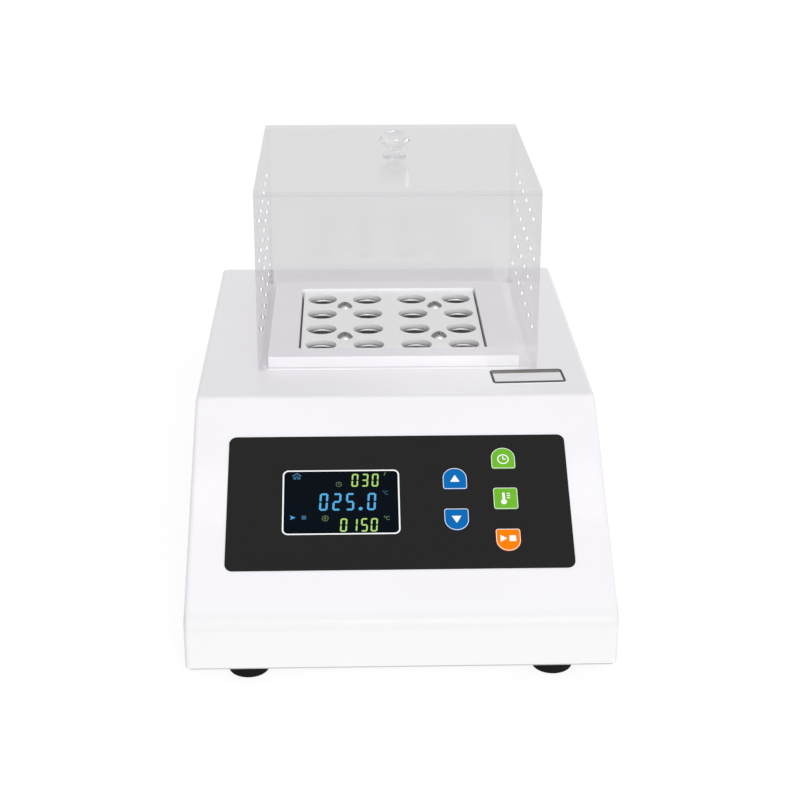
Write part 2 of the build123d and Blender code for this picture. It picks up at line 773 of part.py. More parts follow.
def power_board_fittings():
    """Standoffs, screws, transformer, terminals and the fuse in its clips."""
    reach = standoff_height - 2 * cut_over
    standoff = rod(standoff_radius, floor, power_board_floor)
    standoff -= rod(m3[0] + screw_gap, power_board_floor - reach, power_board_floor + cut_over)
    save("board_standoffs", *[Pos(x, y) * standoff for x, y in standoff_places])
    bolt = Pos(0, 0, power_board_top) * screw(m3, board_thickness + reach - cut_over)
    save("power_board_screws", *[Pos(x, y) * bolt for x, y in standoff_places])
    save("transformer", on_power_board(transformer_size, transformer_x, transformer_y))
    save("terminal_block", on_power_board(terminal_size, terminal_x, terminal_y))
    fuse_place = Pos(power_board_x + fuse_x, power_board_y + fuse_y, power_board_top + fuse_rise)
    glass = fuse_place * Rot(0, 90, 0) * Cylinder(fuse_radius, fuse_length)
    clips = []
    for sx in (-1, 1):
        clip = on_power_board(fuse_clip, fuse_x + sx * (fuse_length / 2 - fuse_clip[0]), fuse_y)
        clips.append(clip - glass)
    save("fuse_clips", *clips)
    save("fuse", glass)


def solid_state_relay():
    """The relay that switches the heaters, bolted flat to the base plate."""
    width, depth, height = relay_size
    relay = cuboid(
        (relay_x - width / 2, relay_x + width / 2), (relay_y - depth / 2, relay_y + depth / 2), (floor, floor + height)
    )
    for x, y in relay_screw_places:
        end = y + (depth / 2 if y > relay_y else -depth / 2)
        low, high = min(y - m3[1] - fit_gap, end), max(y + m3[1] + fit_gap, end)
        notch = (x - relay_notch / 2, x + relay_notch / 2)
        relay -= cuboid(notch, (low, high), (floor + relay_floor, floor + height + cut_over))
        relay -= rod(m3[0] + screw_gap, floor - cut_over, floor + relay_floor + cut_over, x, y)
    return relay


def relay_screws():
    """Two screws that go down through the relay and the base plate."""
    bolt = Pos(0, 0, floor + relay_floor) * screw(m3, relay_floor + base_thickness)
    return [Pos(x, y) * bolt for x, y in relay_screw_places]


# ---------------------------------------------------------------- rear fittings
def socket_outline():
    """The inlet socket's outline: a rectangle with two cut corners at the top."""
    shape = Rectangle(*inlet_socket)
    return chamfer(shape.vertices().sort_by(Axis.Y)[-2:], inlet_socket_chamfer)


def pin_boxes():
    """The three pins of the inlet, each with the blade behind it."""
    floor_y = inlet_face - inlet_socket_depth
    blade_y = panel_face - inlet_body_depth - blade_length
    places = [(-pin_spacing, -pin_row_offset), (pin_spacing, -pin_row_offset), (0.0, pin_row_offset)]
    return [
        cuboid(
            (inlet_x + x - pin_width / 2, inlet_x + x + pin_width / 2),
            (blade_y, floor_y + pin_reach),
            (pocket_z + z - pin_height / 2, pocket_z + z + pin_height / 2),
        )
        for x, z in places
    ]


def power_inlet():
    """The mains inlet housing."""
    flange = extrude(RectangleRounded(*inlet_flange, inlet_flange_round), -inlet_flange_thickness)
    body = Pos(0, 0, -inlet_flange_thickness) * extrude(Rectangle(*inlet_body), -inlet_body_depth)
    socket = Pos(0, 0, -inlet_socket_depth) * extrude(socket_outline(), inlet_socket_depth + cut_over)
    housing = flange + body - socket
    for sx in (-1, 1):
        x = sx * inlet_screw_spacing / 2
        housing -= rod(m3[0] + screw_gap, -inlet_flange_thickness - cut_over, cut_over, x)
    rear_frame = Plane(origin=(inlet_x, inlet_face, pocket_z), x_dir=(-1, 0, 0), z_dir=(0, 1, 0))
    housing = rear_frame.location * housing
    for pin in pin_boxes():
        housing -= pin
    return housing


def rear_screws():
    """Screws of the panel and the inlet, seen from behind."""
    panel_bolt = screw(m3, panel_thickness + thread_depth - cut_over)
    save("panel_screws", *[facing(panel_bolt, (x, panel_face, z), (0, 1, 0)) for x, z in panel_screw_places])
    inlet_bolt = screw(m3, inlet_flange_thickness + panel_thickness + nut_height)
    places = [(inlet_x + sx * inlet_screw_spacing / 2, inlet_face, pocket_z) for sx in (-1, 1)]
    save("inlet_screws", *[facing(inlet_bolt, place, (0, 1, 0)) for place in places])


def power_switch():
    """The switch housing, with a well that the rocker tips in."""
    bezel_plate = cuboid(
        (-bezel[0] / 2, bezel[0] / 2), (-bezel_thickness, 0), (-bezel[1] / 2, bezel[1] / 2)
    )
    bezel_plate = fillet(bezel_plate.edges().filter_by(Axis.Y), bezel_round)
    width, height = switch_body
    body = cuboid((-width / 2, width / 2), (-switch_body_depth, -bezel_thickness / 2), (-height / 2, height / 2))
    well_half = rocker_half_length + rocker_gap
    well = cuboid(
        (-rocker_width / 2 - fit_gap, rocker_width / 2 + fit_gap),
        (-rocker_sink - rocker_keel - rocker_gap, cut_over),
        (-well_half, well_half),
    )
    pin_hole = Pos(0, -rocker_sink, 0) * Rot(0, 90, 0) * Cylinder(rocker_pin_radius + pin_gap, width)
    return Pos(switch_x, bezel_face, pocket_z) * (bezel_plate + body - well - pin_hole)


def power_rocker():
    """The rocker in its off position: lower end in, upper end out, on a pin along X."""
    half, crown = rocker_half_length, rocker_crown
    upper, lower = [(crown, half), (-rocker_dish, half)], [(-rocker_dish, -half), (crown, -half)]
    outline = Polyline((rocker_dish, 0), *upper, (-rocker_keel, 0), *lower, close=True)
    cap = extrude(Plane.YZ * make_face(outline), rocker_width / 2, both=True)
    pin = Rot(0, 90, 0) * Cylinder(rocker_pin_radius, switch_body[0] - 2 * fit_gap)
    return Pos(switch_x, hinge_y, pocket_z) * Rot(-rocker_tilt, 0, 0) * (cap + pin)


# ---------------------------------------------------------------- label and cover
def blank_label():
    """The small blank plate stuck on the top, a little askew."""
    plate = extrude(RectangleRounded(label_width, label_depth, label_round), label_thickness)
    return Pos(label_x, label_y, top) * Rot(0, 0, label_turn) * plate


def vent_holes(x0, x1):
    """Staggered rows of small holes through a side wall, as one cutter."""
    cutter = None
    for row in range(vent_rows):
        count = vent_long_row - row % 2
        z = top + vent_first_row + row * vent_pitch_z
        for k in range(count):
            y = cover_y + (k - (count - 1) / 2) * vent_pitch_y
            hole = Pos((x0 + x1) / 2, y, z) * Rot(0, 90, 0) * Cylinder(vent_radius, x1 - x0)
            cutter = hole if cutter is None else cutter + hole
    return cutter


def cover():
    """Five clear sheets glued edge to edge, and the turned knob glued on top."""
    left, right = cover_x - cover_width / 2, cover_x + cover_width / 2
    near, far = cover_y - cover_depth / 2, cover_y + cover_depth / 2
    wall_z = (top, cover_wall_top)
    save("cover_lid", cuboid((left, right), (near, far), (cover_wall_top, cover_top)))
    save("cover_front", cuboid((left, right), (near, near + cover_sheet), wall_z))
    save("cover_back", cuboid((left, right), (far - cover_sheet, far), wall_z))
    inner_y = (near + cover_sheet, far - cover_sheet)
    for name, x in (("cover_left", (left, left + cover_sheet)), ("cover_right", (right - cover_sheet, right))):
        save(name, cuboid(x, inner_y, wall_z) - vent_holes(x[0] - cut_over, x[1] + cut_over))
    save("cover_knob", Pos(cover_x, cover_y, cover_top) * knob())


def knob():
    """A turned knob: flange, neck and flattened ball."""
    ball_centre = knob_height - knob_ball_height / 2
    ball = Sphere(knob_ball_radius)
    ball = scale(ball, by=(1, 1, knob_ball_height / (2 * knob_ball_radius)))
    body = Pos(0, 0, ball_centre) * ball
    body += rod(knob_flange_radius, 0, knob_flange_height)
    return body + rod(knob_neck_radius, 0, ball_centre)


def build():
    """Makes every node of the part."""
    os.makedirs("parts", exist_ok=True)
    save("upper_casing", upper_casing())
    save("base_plate", base_plate())
    feet()
    save("rear_panel", rear_panel())
    save("well_frame", well_frame())
    reach = wall + frame_height - frame_wall - cut_over
    frame_bolt = Pos(0, 0, top - wall) * Rot(180, 0, 0) * screw(m3, reach)
    save("frame_screws", *[Pos(x, y) * frame_bolt for x, y in frame_screw_places])
    save("well_plate", well_plate())
    plate_bolt = Pos(0, 0, plate_top) * screw(plate_screw_size, plate_thickness + thread_depth, domed_head)
    save("plate_screws", *[Pos(x, y) * plate_bolt for x, y in plate_screw_places])
    save("heating_block", heating_block())
    save("cartridge_heaters", *heaters())
    save("temperature_probe", temperature_probe())
    save("thermal_cutout", thermal_cutout())
    save("insulation_jacket", insulation_jacket())
    save("block_tray", block_tray())
    block_mountings()
    save("front_overlay", front_overlay())
    save("display_window", display_window())
    save("display_module", display_module())
    for name, place in key_places.items():
        save(name, key(*place))
    save("switch_housings", *switch_housings())
    save("control_board", control_board())
    control_board_fittings()
    save("power_board", power_board())
    power_board_fittings()
    save("solid_state_relay", solid_state_relay())
    save("relay_screws", *relay_screws())
    save("power_inlet", power_inlet())
    save("inlet_pins", *pin_boxes())
    rear_screws()
    save("power_switch", power_switch())
    save("power_rocker", power_rocker())
    save("blank_label", blank_label())
    cover()


build()
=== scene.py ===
# %% [markdown]
# # A chemical oxygen demand reactor, dressed in Blender
#
# The real object is a bench heater for water samples: a white moulded casing with a sloping panel, a raised
# frame around a plate with sixteen holes, and a clear cover that lifts off. The solids were made in CAD and
# packed as a frame. This lesson keeps those solids where they are, gives each one a finish, and adds what is
# too thin to be a solid, such as printing and lit digits.

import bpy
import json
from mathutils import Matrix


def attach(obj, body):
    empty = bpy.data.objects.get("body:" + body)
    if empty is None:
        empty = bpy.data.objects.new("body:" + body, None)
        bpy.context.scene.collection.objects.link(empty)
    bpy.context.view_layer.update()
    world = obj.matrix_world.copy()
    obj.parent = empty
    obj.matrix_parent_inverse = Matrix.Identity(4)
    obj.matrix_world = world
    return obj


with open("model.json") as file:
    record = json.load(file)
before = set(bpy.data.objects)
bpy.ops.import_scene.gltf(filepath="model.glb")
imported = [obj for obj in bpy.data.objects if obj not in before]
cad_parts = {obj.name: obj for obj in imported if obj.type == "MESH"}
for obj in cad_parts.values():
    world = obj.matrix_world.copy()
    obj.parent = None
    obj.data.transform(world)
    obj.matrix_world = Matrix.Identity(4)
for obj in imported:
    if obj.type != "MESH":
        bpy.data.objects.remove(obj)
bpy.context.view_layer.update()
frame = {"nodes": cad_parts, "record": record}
print("CAD nodes:", len(frame["nodes"]))

# %% [markdown]
# ## Sizes that come back
#
# The prints lie on the sloping panel, so its place is needed again here. The slope starts at the top of the
# upright band and rises to the casing's top. Its matrix turns "across, up the slope, outwards" in millimetres
# into the frame's metres, so every print can be drawn flat. A second matrix does so for the casing's top.

# %% Axes on the slope and on the casing's top
import json
import math

import bmesh
import bpy
from mathutils import Matrix, Vector

mm = 0.001
casing_front = -192.5 * mm
band_top = 39.9 * mm
casing_top = 121.8 * mm
slope_rise, slope_run = 81.9, 128.7
slope = math.atan2(slope_rise, slope_run)

to_metres = Matrix.Scale(mm, 4)
slope_axes = Matrix.Translation((0, casing_front, band_top)) @ Matrix.Rotation(slope, 4, "X") @ to_metres
on_casing = Matrix.Translation((0, 0, casing_top)) @ to_metres
print("slope in degrees:", round(math.degrees(slope), 2))

# %% [markdown]
# ## Camera
#
# The photograph was taken from a little above and almost straight in front, with a long lens. The place and
# the lens were fitted to points of the casing, so that edges of the render fall on edges of the photograph.

# %% Camera at the photograph's place
camera_place = Vector((-27.09, -1032.24, 506.44)) * mm
camera_down = math.radians(21.795)
camera_right = math.radians(1.75)
camera_roll = math.radians(0.15)
camera_lens = 78.17
sensor_width = 36.0
farthest_seen = 50.0


def new_object(name, data):
    """A new object in the scene."""
    made = bpy.data.objects.new(name, data)
    bpy.context.scene.collection.objects.link(made)
    return made


camera_data = bpy.data.cameras.new("camera")
camera_data.lens = camera_lens
camera_data.sensor_width = sensor_width
camera_data.clip_end = farthest_seen
camera = new_object("camera", camera_data)
camera.matrix_world = (
    Matrix.Translation(camera_place)
    @ Matrix.Rotation(-camera_right, 4, "Z")
    @ Matrix.Rotation(math.pi / 2 - camera_down, 4, "X")
    @ Matrix.Rotation(camera_roll, 4, "Z")
)
bpy.context.scene.camera = camera
bpy.context.scene.view_settings.view_transform = "Standard"
print("camera lens:", camera_lens, "mm")

# %% [markdown]
# ## Shader maths in Python
#
# Finishes need a lot of small nodes. One class wraps a socket, so that sums and products of sockets read like
# sums in Python and add their Math nodes by themselves. A second class adds every other node with one method,
# which sets the node's own settings first and its sockets after, and has short methods for what comes back
# often. Colours are written as red, green and blue.

# %% Classes for node trees
even = (1.0, 1.0, 1.0)


class Value:
    """A socket in a node tree. Arithmetic with it adds Math nodes."""

    def __init__(self, nodes, socket):
        self.nodes = nodes
        self.socket = socket

    def __add__(self, other):
        return self.nodes.maths("ADD", self, other)

    def __sub__(self, other):
        return self.nodes.maths("SUBTRACT", self, other)

    def __rsub__(self, other):
        return self.nodes.maths("SUBTRACT", other, self)

    def __mul__(self, other):
        return self.nodes.maths("MULTIPLY", self, other)

    def __gt__(self, other):
        return self.nodes.maths("GREATER_THAN", self, other)

    __radd__ = __add__
    __rmul__ = __mul__


class Nodes:
    """A node tree that starts empty and is filled by add()."""

    def __init__(self, owner):
        owner.use_nodes = True
        self.tree = owner.node_tree
        self.tree.nodes.clear()

    def add(self, kind, sockets=None, out=0, **settings):
        """Adds a node and gives its output socket. Settings come first, then values or links."""
        node = self.tree.nodes.new(kind)
        for name, value in settings.items():
            setattr(node, name, value)
        for name, value in (sockets or {}).items():
            socket = node.inputs[name]
            if isinstance(value, Value):
                self.tree.links.new(value.socket, socket)
            elif socket.type == "RGBA":
                socket.default_value = (*value, 1.0)
            else:
                socket.default_value = value
        return Value(self, node.outputs[out]) if node.outputs else None

    def maths(self, operation, first, second=0.0):
        return self.add("ShaderNodeMath", {0: first, 1: second}, operation=operation)

    def mix(self, share, first, second):
        """A colour between two colours."""
        return self.add("ShaderNodeMix", {0: share, 6: first, 7: second}, out=2, data_type="RGBA")

    def ramp(self, value, start, end):
        """0 to 1 while a value goes from a start to an end."""
        return self.add("ShaderNodeMapRange", {"Value": value, "From Min": start, "From Max": end})

    def along(self, coordinates, axis):
        """One part of the object's own coordinates, or of its normal."""
        whole = self.add("ShaderNodeTexCoord", out=coordinates)
        return self.add("ShaderNodeSeparateXYZ", {"Vector": whole}, out=axis)

    def height(self):
        """The height over the ground."""
        return self.along("Object", "Z")

    def front_or_back(self, low, high):
        """0 to 1 for faces that look along the object's Y axis, from one share of their normal to another."""
        return self.ramp(self.maths("ABSOLUTE", self.along("Normal", "Y")), low, high)

    def place(self, stretch):
        """The object's own coordinates, stretched along its axes."""
        at = self.add("ShaderNodeTexCoord", out="Object")
        return self.add("ShaderNodeMapping", {"Vector": at, "Scale": stretch})

    def noise(self, size, detail=2.0, stretch=even):
        """Cloudy noise from 0 to 1, with patches of the given size in metres."""
        sockets = {"Vector": self.place(stretch), "Scale": 1.0 / size, "Detail": detail}
        return self.add("ShaderNodeTexNoise", sockets)

    def bump(self, height, depth):
        """A normal that follows a height, depth metres deep."""
        return self.add("ShaderNodeBump", {"Height": height, "Distance": depth})

    def either(self, first, second):
        """One mask for what is in either of two masks."""
        return self.maths("MAXIMUM", first, second)

    def ray(self, kind):
        """A mask for rays of one kind."""
        return self.add("ShaderNodeLightPath", out=f"Is {kind} Ray")

    def lighting(self):
        """A mask for rays that look for light on their way to a lit surface."""
        return self.either(self.ray("Shadow"), self.ray("Diffuse"))

    def looked_at(self):
        """Two masks: rays that the eye follows (straight, mirrored or bent), and rays through acrylic."""
        bent = self.ray("Transmission")
        seen = self.either(self.either(self.ray("Camera"), self.ray("Glossy")), bent)
        sheets = self.add("ShaderNodeLightPath", out="Transparent Depth")
        return seen, self.either(sheets > 0.5, bent)

    def output(self, shader, kind="Material"):
        """Ends the tree with a shader."""
        self.add(f"ShaderNodeOutput{kind}", {"Surface": shader})

    def principled(self, sockets):
        """Ends the tree with one shader for plastic, paint and metal."""
        self.output(self.add("ShaderNodeBsdfPrincipled", sockets))


finishes = {}


def new_finish(name):
    """Puts a new material by under its name and gives its empty node tree."""
    finishes[name] = bpy.data.materials.new(name)
    return Nodes(finishes[name])


def grey(level):
    return (level, level, level)


def shaded(colour, share):
    """The same colour, made lighter or darker by a share."""
    return tuple(min(part * share, 1.0) for part in colour)


print("node helpers ready")

# %% [markdown]
# ## Backdrop and light
#
# The photograph has a plain white ground and soft light from the front. The world is an even pale grey for
# the light itself. Rays that the camera sends meet white instead. Rays that come through the clear cover, or
# that its knob has bent, meet a slightly darker grey, which is how the cover stands out against the ground.
# One soft sun in front gives the front faces more light than the top.

# %% World
ambient = 0.5
behind_acrylic = 0.74

world = bpy.data.worlds.new("studio")
bpy.context.scene.world = world
sky = Nodes(world)
seen, behind = sky.looked_at()
level = ambient + seen * ((1.0 - ambient) - behind * (1.0 - behind_acrylic))
sky.output(sky.add("ShaderNodeBackground", {"Color": grey(1.0), "Strength": level}), "World")
print("world light:", ambient)

# %% Sun
sun_strength = 1.95
sun_spread = math.radians(28.0)
towards_sun = Vector((0.2, -0.86, 0.47))

sun_data = bpy.data.lights.new("sun", "SUN")
sun_data.energy = sun_strength
sun_data.angle = sun_spread
sun = new_object("sun", sun_data)
sun.matrix_world = towards_sun.to_track_quat("Z", "Y").to_matrix().to_4x4()
print("sun strength:", sun_strength)

# %% [markdown]
# The casing is glossy, and in the photograph its slope mirrors two long lamps that hang overhead. They are
# narrow and add hardly any light, so that little more than their mirror images shows: a broad streak beside
# the panel and a thin one above the crease. Their places follow from the camera's line of sight, mirrored in
# the slope.

# %% Strip lamps overhead
strip_height = 1.5
strip_length = 0.7
strip_glow = 2.2

for name, strip_y, strip_width in (("strip_broad", -0.117, 0.08), ("strip_thin", -0.285, 0.018)):
    strip_data = bpy.data.lights.new(name, "AREA")
    strip_data.shape = "RECTANGLE"
    strip_data.size = strip_length
    strip_data.size_y = strip_width
    strip_data.energy = strip_glow * math.pi * strip_length * strip_width
    strip = new_object(name, strip_data)
    strip.location = (0.0, strip_y, strip_height)
    strip.visible_camera = False
    print(name, "at y", strip_y)

# %% [markdown]
# ## Floor
#
# The floor is one wide disc. For the camera it shines almost white and adds a little of the light that falls
# on it, so that a faint shadow stays under the casing. For all other light it is a plain pale surface.

# %% Pale floor with a faint shadow
floor_radius = 9.0
floor_glow = 0.86
shadow_share = 0.2
floor_grey = 0.8

ground = new_finish("floor_pale")
seen, behind = ground.looked_at()
glow = ground.add("ShaderNodeEmission", {"Strength": floor_glow - behind * (1.0 - behind_acrylic)})
faint = ground.add("ShaderNodeBsdfDiffuse", {"Color": grey(shadow_share)})
shown = ground.add("ShaderNodeAddShader", {0: glow, 1: faint})
lit = ground.add("ShaderNodeBsdfDiffuse", {"Color": grey(floor_grey)})
ground.output(ground.add("ShaderNodeMixShader", {0: seen, 1: lit, 2: shown}))

floor_mesh = bpy.data.meshes.new("floor")
bm = bmesh.new()
bmesh.ops.create_circle(bm, cap_ends=True, segments=96, radius=floor_radius)
bm.to_mesh(floor_mesh)
bm.free()
floor_mesh.materials.append(finishes["floor_pale"])
floor = new_object("floor", floor_mesh)
print("floor radius:", floor_radius, "m")

# %% [markdown]
# ## Moulded and painted finishes
#
# Most of the object is plastic or paint. Such a surface is never quite even: its colour drifts by a percent
# or two, its gloss changes in patches, and it has a fine grain from the mould. One function makes all of
# these from a colour, a roughness and the size of the grain.

# %% Plastic and paint
patch_size = 35.0 * mm


def surface(name, colour, roughness, grain, depth=0.01, drift=0.02, specular=0.5, glow=0.0):
    """A finish with drifting colour and gloss and a fine grain. Grain and depth are in millimetres."""
    nodes = new_finish(name)
    patches = nodes.noise(patch_size, 3.0)
    grains = nodes.noise(grain * mm)
    nodes.principled({
        "Base Color": nodes.mix(patches, shaded(colour, 1.0 - drift), shaded(colour, 1.0 + drift)),
        "Roughness": roughness * 0.85 + patches * (roughness * 0.3),
        "Normal": nodes.bump(grains, depth * mm),
        "Specular IOR Level": specular,
        "Emission Color": grey(1.0),
        "Emission Strength": glow,
    })


surface("panel_grey", (0.72, 0.73, 0.74), 0.45, grain=0.5, depth=0.015)
surface("part_black", (0.018, 0.018, 0.019), 0.5, grain=0.6, depth=0.03, drift=0.15)
surface("terminal_green", (0.03, 0.24, 0.08), 0.45, grain=0.8, depth=0.02, drift=0.08)
surface("ribbon_grey", (0.40, 0.41, 0.43), 0.55, grain=1.2, depth=0.05, drift=0.06)
surface("key_blue", (0.001, 0.141, 0.46), 0.4, grain=0.3, depth=0.008, drift=0.05, specular=0.06)
surface("key_green", (0.158, 0.475, 0.028), 0.4, grain=0.3, depth=0.008, drift=0.05, specular=0.06)
surface("key_orange", (1.0, 0.215, 0.0), 0.4, grain=0.3, depth=0.008, drift=0.04, specular=0.06)
surface("film_black", grey(0.0078), 0.5, grain=0.18, drift=0.06, specular=0.15)
print("finishes so far:", ", ".join(finishes))

# %% [markdown]
# ## The casing's white
#
# The casing is thick white plastic with a gloss. Seen close, a moulded face that size is a little wavy, which
# makes its reflections swim. Its white is cooler on the slope and the top than on the upright band. The
# band's white is also greyer, a painted shade for the light from the front that falls more on it. The rounded
# crease between the band and the slope looks straight at the sun. It is matt, and its grey is painted shade,
# as it would mirror a white bar otherwise.

# %% Glossy white shell
# The band's greyer white and the crease's grey are painted shade.
band_shaded_white, slope_white = grey(0.845), (0.883, 0.864, 0.903)
patch_white, crease_shade_grey = (0.82, 0.81, 0.835), (0.74, 0.735, 0.745)
blend_below, blend_above = 6 * mm, 10 * mm
matt_middle, matt_core, matt_reach = 38.4 * mm, 2.6 * mm, 5.2 * mm


def shell_finish():
    nodes = new_finish("shell_white")
    height = nodes.height()
    above_band = nodes.ramp(height, band_top - blend_below, band_top + blend_above)
    patches = nodes.noise(60.0 * mm)
    tint = nodes.mix(patches * 0.3, nodes.mix(above_band, band_shaded_white, slope_white), patch_white)
    waves = nodes.noise(45.0 * mm, 1.0)
    peel = nodes.noise(1.6 * mm, 1.0)
    from_crease = nodes.maths("ABSOLUTE", height - matt_middle)
    matt = nodes.ramp(from_crease, matt_reach, matt_core)
    nodes.principled({
        # The crease's grey is painted shade.
        "Base Color": nodes.mix(matt * 0.5, tint, crease_shade_grey),
        "Roughness": 0.28 + patches * 0.1 + matt * 0.4,
        "Normal": nodes.bump(waves + peel * 0.06, 0.06 * mm),
        "Coat Weight": 0.45 - matt * 0.38,
        "Coat Roughness": 0.06,
    })


shell_finish()
print("shell finish made")

# %% [markdown]
# ## The frame and the plate over the wells
#
# Both are painted white. The light comes from the front, so an upright face gets more of it than a level one,
# and the frame's sides take painted shade, a slightly greyer paint than its top, which keeps them from
# clipping to white. Little light gets down the plate's holes, so their walls take painted shade that turns
# grey towards
# the block. One function does both: a paint for the level face at the top, and two painted shades for the
# walls, from their foot to their head. The frame also has a painted shadow line just above its foot, where it
# stands on the casing.

# %% Paint that goes by height
plate_top = casing_top + 5.6 * mm
plate_thickness = 3.2 * mm
frame_top = casing_top + 7.8 * mm
frame_round = 0.6 * mm
level_edge = 0.05 * mm
# Painted shadow line at the frame's foot, where it stands on the casing.
foot_shadow_grey = (0.62, 0.61, 0.63)
shadow_line_foot, shadow_line_head = 0.4 * mm, 1.1 * mm


def by_height(name, top, foot, edge, level_paint, foot_shaded_paint, head_shaded_paint, rise=1.0, shadow_line=(0.0, 0.0)):
    """Level faces less than an edge below the top take one paint. Walls take painted shade from foot to head.

    A painted shadow line between two heights above the foot is grey.
    """
    nodes = new_finish(name)
    height = nodes.height()
    up_wall = nodes.maths("POWER", nodes.ramp(height, foot, top), rise)
    in_shadow_line = (height > foot + shadow_line[0]) - (height > foot + shadow_line[1])
    # Walls take painted shade from foot to head, crossed by the painted shadow line.
    shaded_wall = nodes.mix(in_shadow_line, nodes.mix(up_wall, foot_shaded_paint, head_shaded_paint), foot_shadow_grey)
    patches = nodes.noise(patch_size, 3.0)
    paint = nodes.mix(patches, shaded(level_paint, 0.985), shaded(level_paint, 1.015))
    nodes.principled({
        "Base Color": nodes.mix(height > top - edge, shaded_wall, paint),
        "Roughness": 0.36 + patches * 0.12,
        "Normal": nodes.bump(nodes.noise(0.5 * mm), 0.012 * mm),
    })


by_height(
    "plate_white", plate_top, plate_top - plate_thickness, level_edge,
    level_paint=(0.935, 0.935, 0.93), foot_shaded_paint=grey(0.34), head_shaded_paint=grey(0.88), rise=0.6,
)
by_height(
    "frame_white", frame_top, casing_top, frame_round,
    level_paint=(0.885, 0.866, 0.905), foot_shaded_paint=(0.85, 0.845, 0.86), head_shaded_paint=(0.865, 0.86, 0.875),
    shadow_line=(shadow_line_foot, shadow_line_head),
)
print("frame and plate finishes made")

# %% [markdown]
# ## Metals
#
# Screws, sheet and the block are metal. Turned, rolled and milled metal shows fine lines in the direction of
# the tool. Noise that is stretched a long way along one axis gives such lines, both in the gloss and the
# relief.

# %% Metal with tool lines
lengthwise, across, upright = (0.04, 1.0, 1.0), (1.0, 0.04, 1.0), (1.0, 1.0, 0.04)


def metal(name, colour, roughness, along, line=0.25):
    """Bare metal with tool lines along the axis whose stretch is small. The line is in millimetres."""
    nodes = new_finish(name)
    lines = nodes.noise(line * mm, 3.0, along)
    stains = nodes.noise(9.0 * mm, 3.0)
    nodes.principled({
        "Base Color": nodes.mix(stains, shaded(colour, 0.92), shaded(colour, 1.05)),
        "Metallic": 1.0,
        "Roughness": roughness * 0.8 + lines * (roughness * 0.4),
        "Normal": nodes.bump(lines, 0.006 * mm),
    })


metal("sheet_steel", (0.50, 0.51, 0.52), 0.38, lengthwise)
metal("screw_steel", (0.46, 0.46, 0.47), 0.26, even, line=0.3)
metal("heater_steel", (0.38, 0.38, 0.39), 0.35, across)
metal("brass", (0.62, 0.46, 0.17), 0.3, across)
print("metals made")

# %% [markdown]
# The heating block is aluminium. The flat ring around each of its wells lies in the shade of the plate, which
# is painted on as a dark grey. The well itself is dark, with painted shade that deepens further down. Between
# them is a bevel that takes a painted highlight, most of all at the front and the back. The domed screws of
# the plate are dull with the same painted highlight at the front and the back.

# %% Block with dark wells
block_top = casing_top + 2.4 * mm
well_bevel = 0.8 * mm
highlight_reach = 0.5 * mm
shade_depth = 4.0 * mm


def block_finish():
    nodes = new_finish("block_aluminium")
    height = nodes.height()
    bevel_foot = block_top - well_bevel
    down_well = nodes.ramp(height, bevel_foot, bevel_foot - shade_depth)
    # The well's colour is painted shade, darker deeper down.
    well_shade = nodes.mix(down_well, grey(0.30), grey(0.07))
    # A painted highlight on the bevel where it faces front or back.
    painted_highlight = nodes.mix(nodes.front_or_back(0.52, 0.70), grey(0.30), grey(0.98))
    bevel = nodes.mix(height > bevel_foot - highlight_reach, well_shade, painted_highlight)
    lines = nodes.noise(0.35 * mm, 3.0, upright)
    nodes.principled({
        # The flat ring's dark grey is painted shade from the plate.
        "Base Color": nodes.mix(height > block_top - level_edge, bevel, grey(0.16)),
        "Metallic": 1.0,
        "Roughness": 0.15 + lines * 0.1,
        "Normal": nodes.bump(lines, 0.004 * mm),
    })


block_finish()
print("block finish made")


# %% Domed screws
def dome_finish():
    """Dull steel with a painted highlight on its steep front and back."""
    nodes = new_finish("screw_dome")
    wear = nodes.noise(1.0 * mm)
    nodes.principled({
        # The bright front and back are a painted highlight.
        "Base Color": nodes.mix(nodes.front_or_back(0.62, 0.80), (0.22, 0.22, 0.225), grey(0.97)),
        "Metallic": 1.0,
        "Roughness": 0.2 + wear * 0.06,
        "Normal": nodes.bump(wear, 0.003 * mm),
    })


dome_finish()
print("dome finish made")

# %% [markdown]
# ## Rubber, fibre, boards, glass and film
#
# The last finishes each have a look of their own. Rubber feet are matt with a fine speckle. The insulation is
# felted fibre. A circuit board is green lacquer over copper tracks, drawn here by a brick pattern. The fuse
# is a glass tube, the label is satin foil, and the lens over the display is a deep blue black.

# %% Rubber and fibre
def rough_finish(name, dark, light, size, depth, roughness):
    """A matt finish of two shades in small clumps. Size and depth are in millimetres."""
    nodes = new_finish(name)
    contrast = nodes.ramp(nodes.noise(size * mm, 6.0), 0.3, 0.7)
    nodes.principled({
        "Base Color": nodes.mix(contrast, dark, light),
        "Roughness": roughness,
        "Specular IOR Level": 0.15,
        "Normal": nodes.bump(contrast, depth * mm),
    })


rough_finish("foot_rubber", grey(0.003), (0.006, 0.006, 0.007), 0.5, 0.03, 0.8)
rough_finish("insulation_fibre", (0.60, 0.57, 0.50), (0.80, 0.78, 0.72), 1.5, 0.5, 0.95)
print("rubber and fibre made")

# %% Circuit board
track_cell = 9.0 * mm


def board_finish():
    nodes = new_finish("board_green")
    cells = nodes.place((1.0 / track_cell,) * 3)
    brick = {"Vector": cells, "Scale": 1.0, "Mortar Size": 0.06, "Mortar Smooth": 0.1}
    tracks = nodes.add("ShaderNodeTexBrick", brick, out="Fac")
    lacquer = nodes.mix(nodes.noise(20.0 * mm), (0.010, 0.11, 0.035), (0.016, 0.15, 0.05))
    nodes.principled({
        "Base Color": nodes.mix(tracks, lacquer, (0.05, 0.24, 0.07)),
        "Roughness": 0.4 - tracks * 0.1,
        "Normal": nodes.bump(tracks, 0.05 * mm),
    })


board_finish()
print("board finish made")

# %% Foil label, lens and fuse
lens_foot, lens_head = 57.0 * mm, 98.0 * mm


